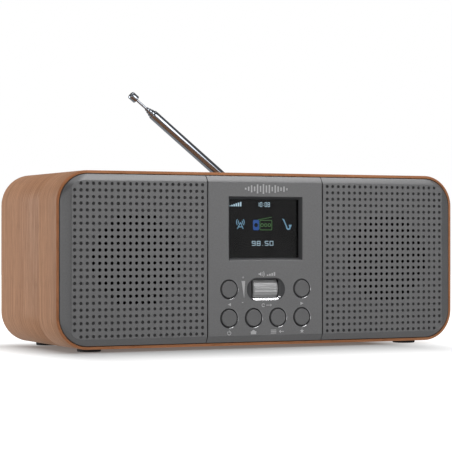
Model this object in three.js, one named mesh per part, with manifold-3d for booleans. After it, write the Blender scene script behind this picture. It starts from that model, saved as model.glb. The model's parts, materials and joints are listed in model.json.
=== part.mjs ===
// Tabletop radio: a wood-wrapped sleeve with three grey front panels, two full-range drivers, a colour
// display, six push buttons, a push-and-turn navigation wheel and a telescopic aerial on the rear cover.
//
// Millimetres. X runs to the user's right, Y from the front to the back, Z up. The origin is on the table,
// under the middle of the radio's overall box.
import * as THREE from 'three';
import { mergeVertices } from 'three/addons/utils/BufferGeometryUtils.js';
import Module from 'manifold-3d';

const wasm = await Module();
wasm.setup();

// ---------------------------------------------------------------- driving dimensions

const WIDTH = 277; // sleeve, side to side
const HEIGHT = 108; // sleeve, bottom to top
const CORNER = 20; // outer corner radius of the sleeve
const WALL = 9; // board thickness of the sleeve
const FOOT = { radius: 7.5, height: 1.7, x: 111.5, front: 18.5, back: 93 };
const GAP = 0.3; // left between pieces that touch

// Depths are measured back from the plane of the front panels' faces.
const FACE_Y = -57.45;
const DEPTH = {
  sleeveFront: 2.8,
  sleeveBack: 106.4,
  panelBack: 9.5,
  baffle: [9.8, 12.7],
  frontShoulder: 13,
  controlBoard: [21, 22.6],
  mainBoard: [90, 91.6],
  rearCover: [102.7, 105.4],
  rearShoulder: 102.4,
};

const FRONT_LIP = 1.8; // thin front edge of the sleeve around the panels
const REAR_LIP = 2.5;
const PANEL_CLEARANCE = 0.4; // between the lip and the panels
const PANEL_WALL = 2.4;
const CHAMFER = { side: 6.6, top: 4.1, depth: 2.8, faceRadius: 6 }; // wider at the sides than above and below
const SEAM = { x: 40.3, half: 0.25 }; // joint between the centre panel and a grille

const HOLE = { pitch: 4, columns: 22, rows: 24, radius: 1, sides: 4, firstColumn: 127.8 };
const SOUND_ROWS = [7, 9, 11, 13, 13, 15, 15, 15, 15, 13, 13, 11, 9, 7]; // open holes in each row
const SOUND_COLUMN = 10; // column at the driver's centre, counted from the outside

const MID_Z = 2 + HEIGHT / 2; // height of the sleeve's centre above the table
const DRIVER_X = HOLE.firstColumn - SOUND_COLUMN * HOLE.pitch;

const SCREEN = { x: 0, z: MID_Z + 19.1, width: 52, height: 40.2, slope: 1.8, lensBack: 4.2 };
const BUTTON = { cap: 5.35, edge: 0.35, proud: 0.4, hole: 5.75, rim: 6.2, flange: 6.4, stem: 1.7 };
const BUTTONS = {
  previous: [-25.5, 37.3],
  next: [25.5, 37.3],
  power: [-25.5, 19.3],
  home: [-8.5, 19.3],
  menu: [8.5, 19.3],
  favourite: [25.5, 19.3],
};
const WHEEL = { z: 37.3, radius: 8, half: 8.75, ribs: 26, proud: 0.1, axle: 1.5, reach: 11 };
const DISH = { z: 37, length: 26.9, height: 14.6, depth: 1.6 };
const SLOT = { length: 19.2, height: 11.6, flare: 1.5, back: 3 };

const AERIAL = { x: 54.8, z: 86, depth: 112, lean: 51.57, cap: 2.8, capStart: 122.8, capEnd: 128.4 };
// Each section: outer and inner radius, where its tube starts, and where its rolled end starts and stops.
const SECTIONS = [
  { outer: 3.3, inner: 2.95, start: 8, shoulder: 105.7, end: 107.7, mouth: 2.95 },
  { outer: 2.65, inner: 2.35, start: 12, shoulder: 107.8, end: 109.7, mouth: 2.35 },
  { outer: 2.05, inner: 1.75, start: 15, shoulder: 109.8, end: 111.7, mouth: 1.75 },
  { outer: 1.45, inner: 1.15, start: 18, shoulder: 111.8, end: 113.7, mouth: 1.15 },
];
const TIP_ROD = { radius: 0.85, start: 22 };

const BACK_SCREWS = [
  [-131.9, 88],
  [131.9, 88],
  [-131.9, 24],
  [131.9, 24],
  [0, 103.4],
  [0, 8.6],
];
const DC_SOCKET = { x: -84, z: 24, width: 9.5, height: 11.5, mouth: 3.1, pin: 1 };
const PHONE_SOCKET = { x: -62, z: 24, width: 10, height: 9, nose: 3.8, mouth: 1.85 };
const VENTS = { count: 8, pitch: 6, length: 30, width: 2.2, x: 62, z: 36 };

// ---------------------------------------------------------------- materials

const paint = (color, roughness, metalness = 0) =>
  new THREE.MeshStandardMaterial({ color, roughness, metalness, flatShading: true });

const WOOD = paint(0xa3826a, 0.55);
const GREY = paint(0x6c6c6c, 0.5, 0.1);
const CAP_GREY = paint(0x727272, 0.5, 0.1);
const BLACK = paint(0x1a1a1a, 0.7);
const RUBBER = paint(0x151515, 0.9);
const CHROME = paint(0xd5d7da, 0.12, 1);
const STEEL = paint(0x9a9c9e, 0.35, 1);
const SILVER = paint(0xa5a5a5, 0.35, 0.6);
const GLASS = paint(0x0c0d0e, 0.05);
const BOARD = paint(0x1d5a34, 0.6);
const PAPER = paint(0x202020, 0.9);
const MAGNET = paint(0x2b2b2d, 0.7, 0.3);
const CREAM = paint(0xd9d4c4, 0.6);

// ---------------------------------------------------------------- solids and booleans

const y = (depth) => FACE_Y + depth;

// A closed geometry as a manifold-3d solid.
function solid(geometry) {
  const bare = geometry.clone();
  for (const name of ['normal', 'uv']) bare.deleteAttribute(name);
  const merged = mergeVertices(bare, 1e-4);
  const mesh = new wasm.Mesh({
    numProp: 3,
    vertProperties: new Float32Array(merged.attributes.position.array),
    triVerts: new Uint32Array(merged.index.array),
  });
  return new wasm.Manifold(mesh);
}

const cut = (body, ...tools) => tools.reduce((left, tool) => left.subtract(tool), body);
const join = (...bodies) => bodies.reduce((whole, body) => whole.add(body));

function geometryOf(body) {
  const mesh = body.getMesh();
  return new THREE.BufferGeometry()
    .setAttribute('position', new THREE.BufferAttribute(new Float32Array(mesh.vertProperties), 3))
    .setIndex(new THREE.BufferAttribute(new Uint32Array(mesh.triVerts), 1));
}

// ---------------------------------------------------------------- outlines, in the X-Z plane

// Points of a rectangle with round corners, anticlockwise seen from the front.
function roundedRectangle(width, height, radius, steps = 7, cx = 0, cz = MID_Z) {
  const corners = [
    [1, 1, 0],
    [-1, 1, 90],
    [-1, -1, 180],
    [1, -1, 270],
  ];
  return corners.flatMap(([sx, sz, from]) =>
    Array.from({ length: steps + 1 }, (_, i) => {
      const angle = THREE.MathUtils.degToRad(from + (90 * i) / steps);
      return new THREE.Vector2(
        cx + sx * (width / 2 - radius) + radius * Math.cos(angle),
        cz + sz * (height / 2 - radius) + radius * Math.sin(angle),
      );
    }),
  );
}

function rectangle(width, height, cx, cz) {
  return [
    [1, 1],
    [-1, 1],
    [-1, -1],
    [1, -1],
  ].map(([sx, sz]) => new THREE.Vector2(cx + (sx * width) / 2, cz + (sz * height) / 2));
}

// ---------------------------------------------------------------- shapes

// A solid skinned over outlines with equal numbers of points, each at its own depth, front to back.
function loft(rings) {
  const count = rings[0].points.length;
  const positions = rings.flatMap(({ points, depth }) => points.flatMap((p) => [p.x, y(depth), p.y]));
  const cap = THREE.ShapeUtils.triangulateShape(rings[0].points, []);
  const last = (rings.length - 1) * count;
  const index = cap.flatMap(([a, b, c]) => [a, b, c, last + c, last + b, last + a]);
  for (let ring = 0; ring < rings.length - 1; ring++) {
    for (let i = 0; i < count; i++) {
      const front = ring * count + i;
      const frontNext = ring * count + ((i + 1) % count);
      const [back, backNext] = [front + count, frontNext + count];
      index.push(front, back, backNext, front, backNext, frontNext);
    }
  }
  return solid(
    new THREE.BufferGeometry()
      .setAttribute('position', new THREE.Float32BufferAttribute(positions, 3))
      .setIndex(index),
  );
}

const slab = (points, front, back) =>
  loft([
    { points, depth: front },
    { points, depth: back },
  ]);

// A solid of revolution about a line along Y through (cx, cz); the profile holds [radius, depth] pairs.
function turned(profile, cx, cz, segments = 16) {
  const points = profile.map(([radius, depth]) => new THREE.Vector2(radius, y(depth)));
  return solid(new THREE.LatheGeometry(points, segments).translate(cx, 0, cz));
}

const disc = (radius, front, back, cx, cz, segments = 16) =>
  turned(
    [
      [0, front],
      [radius, front],
      [radius, back],
      [0, back],
    ],
    cx,
    cz,
    segments,
  );

function block(x0, x1, front, back, z0, z1) {
  const box = new THREE.BoxGeometry(x1 - x0, back - front, z1 - z0);
  return solid(box.translate((x0 + x1) / 2, y((front + back) / 2), (z0 + z1) / 2));
}

// A cylinder along X, for axles.
function axle(radius, x0, x1, depth, z, segments = 16) {
  const rod = new THREE.CylinderGeometry(radius, radius, x1 - x0, segments).rotateZ(Math.PI / 2);
  return solid(rod.translate((x0 + x1) / 2, y(depth), z));
}

// ---------------------------------------------------------------- the assembly

const radio = new THREE.Group();
radio.name = 'tabletop_radio';

function add(name, body, material, parent = radio) {
  const mesh = new THREE.Mesh(body.isBufferGeometry ? body : geometryOf(body), material);
  mesh.name = name;
  parent.add(mesh);
  return mesh;
}

// ---------------------------------------------------------------- sleeve and feet

function sleeve() {
  const outside = slab(roundedRectangle(WIDTH, HEIGHT, CORNER), DEPTH.sleeveFront, DEPTH.sleeveBack);
  const room = (inset, front, back) =>
    slab(roundedRectangle(WIDTH - 2 * inset, HEIGHT - 2 * inset, CORNER - inset), front, back);
  const pilots = BACK_SCREWS.map(([x, z]) => disc(1.8, 91, 104, x, z, 6));
  return cut(
    outside,
    room(WALL, 0, 110),
    room(FRONT_LIP, 0, DEPTH.frontShoulder),
    room(REAR_LIP, DEPTH.rearShoulder, 110),
    ...pilots,
  );
}
add('cabinet_sleeve', sleeve(), WOOD);

for (const [side, x] of [
  ['left', -FOOT.x],
  ['right', FOOT.x],
]) {
  for (const row of ['front', 'back']) {
    const pad = new THREE.CylinderGeometry(FOOT.radius, FOOT.radius - 0.4, FOOT.height, 16);
    const foot = add(`foot_${row}_${side}`, pad.rotateX(Math.PI / 2), RUBBER);
    foot.position.set(x, y(FOOT[row]), FOOT.height / 2);
  }
}

// ---------------------------------------------------------------- front panels

const PANEL_WIDTH = WIDTH - 2 * (FRONT_LIP + PANEL_CLEARANCE);
const PANEL_HEIGHT = HEIGHT - 2 * (FRONT_LIP + PANEL_CLEARANCE);
const PANEL_RADIUS = CORNER - FRONT_LIP - PANEL_CLEARANCE;

const panelOutline = (side, top = side, radius = PANEL_RADIUS - side) =>
  roundedRectangle(PANEL_WIDTH - 2 * side, PANEL_HEIGHT - 2 * top, radius);

// The three panels are cut from one chamfered shell, so that their faces and chamfers line up.
const panelBlank = loft([
  { points: panelOutline(CHAMFER.side, CHAMFER.top, CHAMFER.faceRadius), depth: 0 },
  { points: panelOutline(0), depth: CHAMFER.depth },
  { points: panelOutline(0), depth: DEPTH.panelBack },
]);
const panelHollow = loft([
  { points: panelOutline(CHAMFER.side + 1.8, CHAMFER.top + 1.8), depth: PANEL_WALL },
  { points: panelOutline(2), depth: CHAMFER.depth + PANEL_WALL },
  { points: panelOutline(2), depth: DEPTH.panelBack + 1 },
]);

function panel(x0, x1, rim0, rim1) {
  const span = (left, right) => block(left, right, -5, 20, -10, 130);
  return cut(panelBlank.intersect(span(x0, x1)), panelHollow.intersect(span(x0 + rim0, x1 - rim1)));
}

// Side panel with its drilled sound field; side is -1 for the left panel and 1 for the right.
function grille(side) {
  const seam = SEAM.x + SEAM.half;
  const edge = WIDTH / 2;
  const body = side < 0 ? panel(-edge, -seam, 0, 2) : panel(seam, edge, 2, 0);
  const firstRow = (HOLE.rows - SOUND_ROWS.length) / 2;
  const holes = SOUND_ROWS.flatMap((count, i) =>
    Array.from({ length: count }, (_, k) => {
      const column = SOUND_COLUMN - (count - 1) / 2 + k;
      const x = side * (HOLE.firstColumn - column * HOLE.pitch);
      const z = MID_Z + ((HOLE.rows - 1) / 2 - firstRow - i) * HOLE.pitch;
      return disc(HOLE.radius, -1, PANEL_WALL + 1, x, z, HOLE.sides);
    }),
  );
  return cut(body, join(...holes));
}
add('left_grille', grille(-1), GREY);
add('right_grille', grille(1), GREY);

function controlFascia() {
  const half = SEAM.x - SEAM.half;
  const { x, z, width, height, slope } = SCREEN;
  const window = loft([
    { points: rectangle(width + slope, height + slope, x, z), depth: -PANEL_WALL / 2 },
    { points: rectangle(width - 2 * slope, height - 2 * slope, x, z), depth: PANEL_WALL + 0.1 },
  ]);
  const buttonHole = ([bx, bz]) =>
    turned(
      [
        [0, -0.5],
        [BUTTON.rim + 0.5, -0.5],
        [BUTTON.hole, 0.5],
        [BUTTON.hole, 3.5],
        [0, 3.5],
      ],
      bx,
      bz,
    );
  const slotShape = (grow) =>
    roundedRectangle(SLOT.length + grow, SLOT.height + 2 * grow, 1.2, 5, 0, WHEEL.z);
  const dish = loft([
    { points: roundedRectangle(DISH.length + 2, DISH.height + 0.8, 7.6, 5, 0, DISH.z), depth: -0.5 },
    { points: slotShape(0.6), depth: DISH.depth },
  ]);
  const slot = loft([
    { points: slotShape(0), depth: 0 },
    { points: slotShape(0), depth: DISH.depth + 0.2 },
    { points: slotShape(SLOT.flare), depth: SLOT.back + 0.1 },
  ]);
  const slotWall = block(-15, 15, 1, SLOT.back, WHEEL.z - 9.5, WHEEL.z + 9.5);
  const body = join(panel(-half, half, 2, 2), slotWall);
  return cut(body, window, dish, slot, ...Object.values(BUTTONS).map(buttonHole));
}
add('control_fascia', controlFascia(), GREY);

function baffle() {
  const [front, back] = DEPTH.baffle;
  const mouth = (x) => disc(30, 5, 20, x, MID_Z, 28);
  const centre = slab(roundedRectangle(76, 92, 3, 2), 5, 20);
  return cut(slab(panelOutline(0), front, back), mouth(-DRIVER_X), mouth(DRIVER_X), centre);
}
add('front_baffle', baffle(), BLACK);

// ---------------------------------------------------------------- display

function displayModule() {
  const { x, z, lensBack } = SCREEN;
  const front = lensBack + GAP;
  const frame = block(x - 30, x + 30, front, front + 3.2, z - 22.5, z + 21.5);
  return cut(frame, block(x - 25.4, x + 25.4, front - 1, front + 0.5, z - 19.2, z + 19.2));
}
{
  const { x, z, width, height, lensBack } = SCREEN;
  const [halfWidth, halfHeight] = [(width + 2.4) / 2, (height + 2.4) / 2];
  const lens = block(
    x - halfWidth,
    x + halfWidth,
    PANEL_WALL + GAP,
    lensBack,
    z - halfHeight,
    z + halfHeight,
  );
  add('display_lens', lens, GLASS);
  add('display_module', displayModule(), STEEL);
}

// ---------------------------------------------------------------- buttons and their switches

const SWITCH = { half: 3, front: 15.6, wellRadius: 2.2, wellBack: 18 };
const SWITCH_BACK = DEPTH.controlBoard[0] - GAP;

function buttonCap(x, z) {
  const { cap, edge, proud, flange, stem } = BUTTON;
  return turned(
    [
      [0, -proud],
      [cap - edge, -proud],
      [cap, edge - proud],
      [cap, 2.9],
      [flange, 2.9],
      [flange, 4],
      [stem, 4],
      [stem, SWITCH.front + 0.8],
      [0, SWITCH.front + 0.8],
    ],
    x,
    z,
  );
}

function tactSwitch(x, z, front, wellBack) {
  const { half, wellRadius } = SWITCH;
  const can = block(x - half, x + half, front, SWITCH_BACK, z - half, z + half);
  return cut(can, disc(wellRadius, front - 1, wellBack, x, z, 8));
}

for (const [name, [x, z]] of Object.entries(BUTTONS)) {
  add(`${name}_button`, buttonCap(x, z), CAP_GREY);
  add(`${name}_switch`, tactSwitch(x, z, SWITCH.front, SWITCH.wellBack), BLACK);
}

const boardPosts = [-34, 34].flatMap((x) => [15.5, 47].map((z) => [x, z]));

function controlBoard() {
  const [front, back] = DEPTH.controlBoard;
  const holes = boardPosts.map(([x, z]) => disc(1.6, front - 1, back + 1, x, z, 8));
  return cut(block(-37, 37, front, back, 12, 51), ...holes);
}
add('control_board', controlBoard(), BOARD);

// ---------------------------------------------------------------- navigation wheel

const WHEEL_DEPTH = WHEEL.radius - WHEEL.proud;
const CRADLE = { front: 3.4, base: 16.3, back: 17.6, armIn: 9.3, armOut: 11.3 };

// Ribbed roller: each rib is a flat top with a shallow groove beside it.
function roller() {
  const { radius, ribs, half, axle: axleRadius } = WHEEL;
  const shape = new THREE.Shape(
    Array.from({ length: ribs * 2 }, (_, i) => {
      const angle = (Math.PI * i) / ribs;
      const r = i % 2 ? radius - 0.45 : radius;
      return new THREE.Vector2(r * Math.cos(angle), r * Math.sin(angle));
    }),
  );
  shape.holes.push(new THREE.Path().absarc(0, 0, axleRadius + GAP, 0, 2 * Math.PI, true));
  const ribbed = new THREE.ExtrudeGeometry(shape, { depth: 2 * half, bevelEnabled: false, curveSegments: 8 });
  return solid(ribbed.rotateY(Math.PI / 2).translate(-half, y(WHEEL_DEPTH), WHEEL.z));
}

function cradle() {
  const { front, base, back, armIn, armOut } = CRADLE;
  const z = WHEEL.z;
  const arm = (x0, x1) => block(x0, x1, front, back, z - 4, z + 4);
  const plate = block(-armOut, armOut, base, back, z - 6.5, z + 6.5);
  const nub = disc(1.6, back - 0.5, back + 1.3, 0, z, 10);
  const bore = axle(WHEEL.axle + GAP, -20, 20, WHEEL_DEPTH, z, 12);
  return cut(join(arm(-armOut, -armIn), arm(armIn, armOut), plate, nub), bore);
}

// Frame behind the panel: a well around each button, the wheel's housing, a plate that joins them, and the
// posts that carry the control board; their thin ends pass through it and are flattened over.
function controlFrame() {
  const centres = Object.values(BUTTONS);
  const [inside, outside] = [BUTTON.flange + 0.45, BUTTON.flange + 1.5];
  const wells = centres.map(([x, z]) => disc(outside, PANEL_WALL + GAP, SWITCH_BACK, x, z, 18));
  const bores = centres.map(([x, z]) => disc(inside, 0, 30, x, z, 18));
  const housing = (halfX, halfZ, front, back) =>
    block(-halfX, halfX, front, back, WHEEL.z - halfZ, WHEEL.z + halfZ);
  const posts = boardPosts.map(([x, z]) =>
    join(disc(2.4, 12, SWITCH_BACK, x, z, 10), disc(1.2, 15, 23.6, x, z, 8)),
  );
  const plate = block(-36, 36, 12, 13.6, 13.5, 49);
  const body = join(plate, housing(13.2, 9.8, CRADLE.front, SWITCH_BACK), ...wells, ...posts);
  return cut(body, housing(11.8, 8.6, 0, 30), ...bores);
}

add('navigation_wheel', roller(), SILVER);
add('wheel_axle', axle(WHEEL.axle, -WHEEL.reach, WHEEL.reach, WHEEL_DEPTH, WHEEL.z, 12), STEEL);
add('wheel_cradle', cradle(), BLACK);
add('control_frame', controlFrame(), BLACK);
add('wheel_switch', tactSwitch(0, WHEEL.z, 18.4, 19.9), BLACK);

// ---------------------------------------------------------------- drivers

const BASKET = [
  [28, 13],
  [33, 13],
  [33, 14.2],
  [29.2, 14.2],
  [17.2, 27.2],
  [17.2, 29],
  [9.5, 29],
  [9.5, 27.8],
  [16, 27.8],
  [16, 27],
  [28, 14],
  [28, 13],
];
const MAGNET_PROFILE = [
  [0, 28.2],
  [5.6, 28.2],
  [5.6, 38.5],
  [7.6, 38.5],
  [7.6, 29.3],
  [19, 29.3],
  [19, 41],
  [0, 41],
];
const CONE_PROFILE = [
  [0, 18.4],
  [4.5, 19.2],
  [7.4, 21.4],
  [23, 13.8],
  [23, 14.8],
  [7.6, 23.3],
  [6.9, 23.3],
  [6.6, 22.4],
  [4.2, 20.3],
  [0, 19.4],
];
const COIL = { inner: 6.25, outer: 6.95, front: 23.6, back: 34.5 };
const ROLL = { radius: 25.5, outer: 2.2, inner: 1.6, depth: 13.8, steps: 4 };
const DRIVER_SEGMENTS = 18;

// Half-roll of the rubber surround, as a closed profile.
function rollProfile() {
  const arch = (r) =>
    Array.from({ length: ROLL.steps + 1 }, (_, i) => {
      const angle = (Math.PI * i) / ROLL.steps;
      return [ROLL.radius - r * Math.cos(angle), ROLL.depth - r * Math.sin(angle)];
    });
  const [outside, inside] = [arch(ROLL.outer), arch(ROLL.inner)];
  return [...outside, ...inside.reverse(), outside[0]];
}

function basket(x) {
  const windows = [45, 135].map((angle) => {
    const bar = new THREE.BoxGeometry(60, 6, 12).rotateY(THREE.MathUtils.degToRad(angle));
    return solid(bar.translate(x, y(20.8), MID_Z));
  });
  return cut(turned(BASKET, x, MID_Z, DRIVER_SEGMENTS), ...windows);
}

for (const [side, x] of [
  ['left', -DRIVER_X],
  ['right', DRIVER_X],
]) {
  const { inner, outer, front, back } = COIL;
  const coil = cut(disc(outer, front, back, x, MID_Z), disc(inner, front - 1, back + 1, x, MID_Z));
  add(`${side}_driver_basket`, basket(x), STEEL);
  add(`${side}_driver_magnet`, turned(MAGNET_PROFILE, x, MID_Z, DRIVER_SEGMENTS), MAGNET);
  add(`${side}_driver_cone`, turned(CONE_PROFILE, x, MID_Z, DRIVER_SEGMENTS), PAPER);
  add(`${side}_driver_surround`, turned(rollProfile(), x, MID_Z, DRIVER_SEGMENTS), RUBBER);
  add(`${side}_voice_coil`, coil, CREAM);
}

// ---------------------------------------------------------------- rear cover, boards and sockets

const REAR_WIDTH = WIDTH - 2 * (REAR_LIP + PANEL_CLEARANCE);
const REAR_HEIGHT = HEIGHT - 2 * (REAR_LIP + PANEL_CLEARANCE);
const mainBoardPosts = [-96, 16].flatMap((x) => [16, 80].map((z) => [x, z]));

function rearCover() {
  const [front, back] = DEPTH.rearCover;
  const outline = roundedRectangle(REAR_WIDTH, REAR_HEIGHT, CORNER - REAR_LIP - PANEL_CLEARANCE);
  const seat = disc(7.4, back - 1, back + 0.5, AERIAL.x, AERIAL.z, 20);
  const posts = mainBoardPosts.map(([x, z]) =>
    join(disc(2.8, DEPTH.mainBoard[1] + GAP, back - 1, x, z, 10), disc(1.2, 88.6, 95, x, z, 8)),
  );
  const screwHoles = BACK_SCREWS.map(([x, z]) =>
    join(disc(1.7, 100, 110, x, z, 8), disc(3.2, 104.2, 110, x, z, 12)),
  );
  const slots = Array.from({ length: VENTS.count }, (_, i) => {
    const x = VENTS.x + (i - (VENTS.count - 1) / 2) * VENTS.pitch;
    return slab(roundedRectangle(VENTS.width, VENTS.length, 1.05, 3, x, VENTS.z), 100, 110);
  });
  const { x, z, width, height } = DC_SOCKET;
  const dcHole = slab(rectangle(width + 0.8, height + 0.8, x, z), 100, 110);
  const phoneHole = disc(PHONE_SOCKET.nose + 0.4, 100, 110, PHONE_SOCKET.x, PHONE_SOCKET.z);
  const aerialHole = disc(1.8, 100, 110, AERIAL.x, AERIAL.z);
  const body = join(slab(outline, front, back), seat, ...posts);
  return cut(body, ...screwHoles, ...slots, dcHole, phoneHole, aerialHole);
}
add('rear_cover', rearCover(), BLACK);

BACK_SCREWS.forEach(([x, z], i) => {
  const screw = turned(
    [
      [0, 92],
      [1.2, 93],
      [1.2, 104.5],
      [2.7, 104.5],
      [2.7, 105.3],
      [1.9, 106],
      [0, 106],
    ],
    x,
    z,
    10,
  );
  add(`cover_screw_${i + 1}`, screw, STEEL);
});

function mainBoard() {
  const [front, back] = DEPTH.mainBoard;
  const holes = mainBoardPosts.map(([x, z]) => disc(1.6, front - 1, back + 1, x, z, 8));
  return cut(block(-100, 20, front, back, 12, 84), ...holes);
}

function dcSocket() {
  const { x, z, width, height, mouth, pin } = DC_SOCKET;
  const front = DEPTH.mainBoard[1] + GAP;
  const can = block(x - width / 2, x + width / 2, front, 105.2, z - height / 2, z + height / 2);
  return join(cut(can, disc(mouth, 95, 110, x, z, 16)), disc(pin, 94, 104.5, x, z, 8));
}

function phoneSocket() {
  const { x, z, width, height, nose, mouth } = PHONE_SOCKET;
  const front = DEPTH.mainBoard[1] + GAP;
  const can = block(x - width / 2, x + width / 2, front, 102.3, z - height / 2, z + height / 2);
  return cut(join(can, disc(nose, 101, 105.6, x, z, 16)), disc(mouth, 93, 110, x, z, 12));
}

add('main_board', mainBoard(), BOARD);
add('tuner_module', block(-30, 4, 86, DEPTH.mainBoard[0] - GAP, 46, 72), STEEL);
add('dc_socket', dcSocket(), BLACK);
add('headphone_socket', phoneSocket(), BLACK);

// Flat ribbon cable with a plug at each end, hanging between the control board and the main board.
function ribbonCable() {
  const start = DEPTH.controlBoard[1] + GAP;
  const end = DEPTH.mainBoard[0] - GAP;
  const plugZ = 26;
  const sag = (t) => plugZ - 9 * Math.sin(Math.PI * t);
  const side = (lift, steps = 12) =>
    Array.from({ length: steps + 1 }, (_, i) => {
      const t = i / steps;
      return new THREE.Vector2(y(start + 2 + t * (end - start - 4)), sag(t) + lift);
    });
  const strip = new THREE.Shape([...side(-0.4), ...side(0.4).reverse()]);
  const ribbon = new THREE.ExtrudeGeometry(strip, { depth: 16, bevelEnabled: false });
  // The outline is drawn in the Y-Z plane, so the extrusion is turned to run along X.
  ribbon.applyMatrix4(new THREE.Matrix4().set(0, 0, 1, -20, 1, 0, 0, 0, 0, 1, 0, 0, 0, 0, 0, 1));
  const plug = (from, to) => block(-21.5, -2.5, from, to, plugZ - 2.5, plugZ + 2.5);
  return join(solid(ribbon), plug(start, start + 5), plug(end - 5, end));
}
add('ribbon_cable', ribbonCable(), CREAM);

// ---------------------------------------------------------------- telescopic aerial

// Local frame at the hinge pin: Z runs up the rod, X along the pin, and Y to the back as before.
const aerial = new THREE.Group();
aerial.position.set(AERIAL.x, y(AERIAL.depth), AERIAL.z);
aerial.rotation.y = THREE.MathUtils.degToRad(-AERIAL.lean);
radio.add(aerial);

const FORK = { inner: 1.5, outer: 3.1, radius: 3.4, seat: [-5.8, -3.8] };
const PIN = { radius: 1, half: 3.6 };

// A solid of revolution about the rod's own line; the profile holds [radius, height] pairs.
function rodSolid(profile, segments = 14) {
  const points = profile.map(([radius, height]) => new THREE.Vector2(radius, height));
  return solid(new THREE.LatheGeometry(points, segments).rotateX(Math.PI / 2));
}

function localCylinder(axis, radius, from, to, segments) {
  const rod = new THREE.CylinderGeometry(radius, radius, to - from, segments);
  if (axis === 'x') return solid(rod.rotateZ(Math.PI / 2).translate((from + to) / 2, 0, 0));
  return solid(rod.translate(0, (from + to) / 2, 0));
}

function localBox(x0, x1, y0, y1, z0, z1) {
  const box = new THREE.BoxGeometry(x1 - x0, y1 - y0, z1 - z0);
  return solid(box.translate((x0 + x1) / 2, (y0 + y1) / 2, (z0 + z1) / 2));
}

function aerialBase() {
  const { inner, outer, radius, seat } = FORK;
  const cheek = (x0, x1) =>
    join(localCylinder('x', radius, x0, x1, 14), localBox(x0, x1, seat[1] - 0.5, 0, -radius, radius));
  const knuckle = join(cheek(-outer, -inner), cheek(inner, outer));
  const seatDisc = localCylinder('y', 6, seat[0], seat[1], 18);
  const pinHole = localCylinder('x', PIN.radius + GAP, -10, 10, 10);
  const screwHole = localCylinder('y', 1.7, seat[0] - 1, seat[1], 10);
  return cut(join(knuckle, seatDisc), pinHole, screwHole);
}

// Lowest section: a closed foot with a flat tongue that turns on the hinge pin, and the widest tube.
function lowestSection() {
  const { outer, inner, start, shoulder, end, mouth } = SECTIONS[0];
  const tube = rodSolid([
    [0, 5.6],
    [outer - 0.6, 5.6],
    [outer, 6.4],
    [outer, shoulder],
    [mouth + 0.12, end],
    [mouth, end],
    [inner, shoulder],
    [inner, start],
    [0, start],
  ]);
  const tongue = join(localCylinder('x', 2.8, -1.2, 1.2, 12), localBox(-1.2, 1.2, -2.6, 2.6, 0, 6));
  return cut(join(tube, tongue), localCylinder('x', PIN.radius + GAP, -5, 5, 10));
}

// Middle sections: open tubes whose top ends taper towards the next one.
function middleSection({ outer, inner, start, shoulder, end, mouth }) {
  return rodSolid([
    [inner, start],
    [outer, start],
    [outer, shoulder],
    [mouth + 0.12, end],
    [mouth, end],
    [inner, start],
  ]);
}

const screwShank = localCylinder('y', 1.4, -10.5, FORK.seat[1] - GAP, 10);
const screw = join(localCylinder('y', 4.5, -11.3, -9.8, 14), screwShank);
const tipRod = rodSolid(
  [
    [0, TIP_ROD.start],
    [TIP_ROD.radius, TIP_ROD.start],
    [TIP_ROD.radius, AERIAL.capStart + 3],
    [0, AERIAL.capStart + 3],
  ],
  10,
);
const tipCap = rodSolid([
  [TIP_ROD.radius + GAP, AERIAL.capStart],
  [AERIAL.cap - 0.3, AERIAL.capStart],
  [AERIAL.cap, AERIAL.capStart + 0.4],
  [AERIAL.cap, AERIAL.capEnd - 0.7],
  [AERIAL.cap - 0.7, AERIAL.capEnd],
  [0, AERIAL.capEnd],
  [0, AERIAL.capStart + 3.4],
  [TIP_ROD.radius + GAP, AERIAL.capStart + 3.4],
  [TIP_ROD.radius + GAP, AERIAL.capStart],
]);

add('aerial_base', aerialBase(), CHROME, aerial);
add('aerial_screw', screw, STEEL, aerial);
add('aerial_hinge_pin', localCylinder('x', PIN.radius, -PIN.half, PIN.half, 10), STEEL, aerial);
add('aerial_section_1', lowestSection(), CHROME, aerial);
SECTIONS.slice(1).forEach((section, i) => {
  add(`aerial_section_${i + 2}`, middleSection(section), CHROME, aerial);
});
add('aerial_tip_rod', tipRod, CHROME, aerial);
add('aerial_tip_cap', tipCap, CHROME, aerial);

export default radio;
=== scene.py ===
"""Looks of the tabletop radio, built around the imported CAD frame.

Lengths are millimetres, except for materials, lamps, the floor and the camera, which use metres. A point of a
piece is (x, depth, z): x to the user's right, depth back from the front panels' faces, z up from the table.
"""

import json
import math

import bmesh
import bpy
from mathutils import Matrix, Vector
from mathutils.geometry import delaunay_2d_cdt

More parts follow.
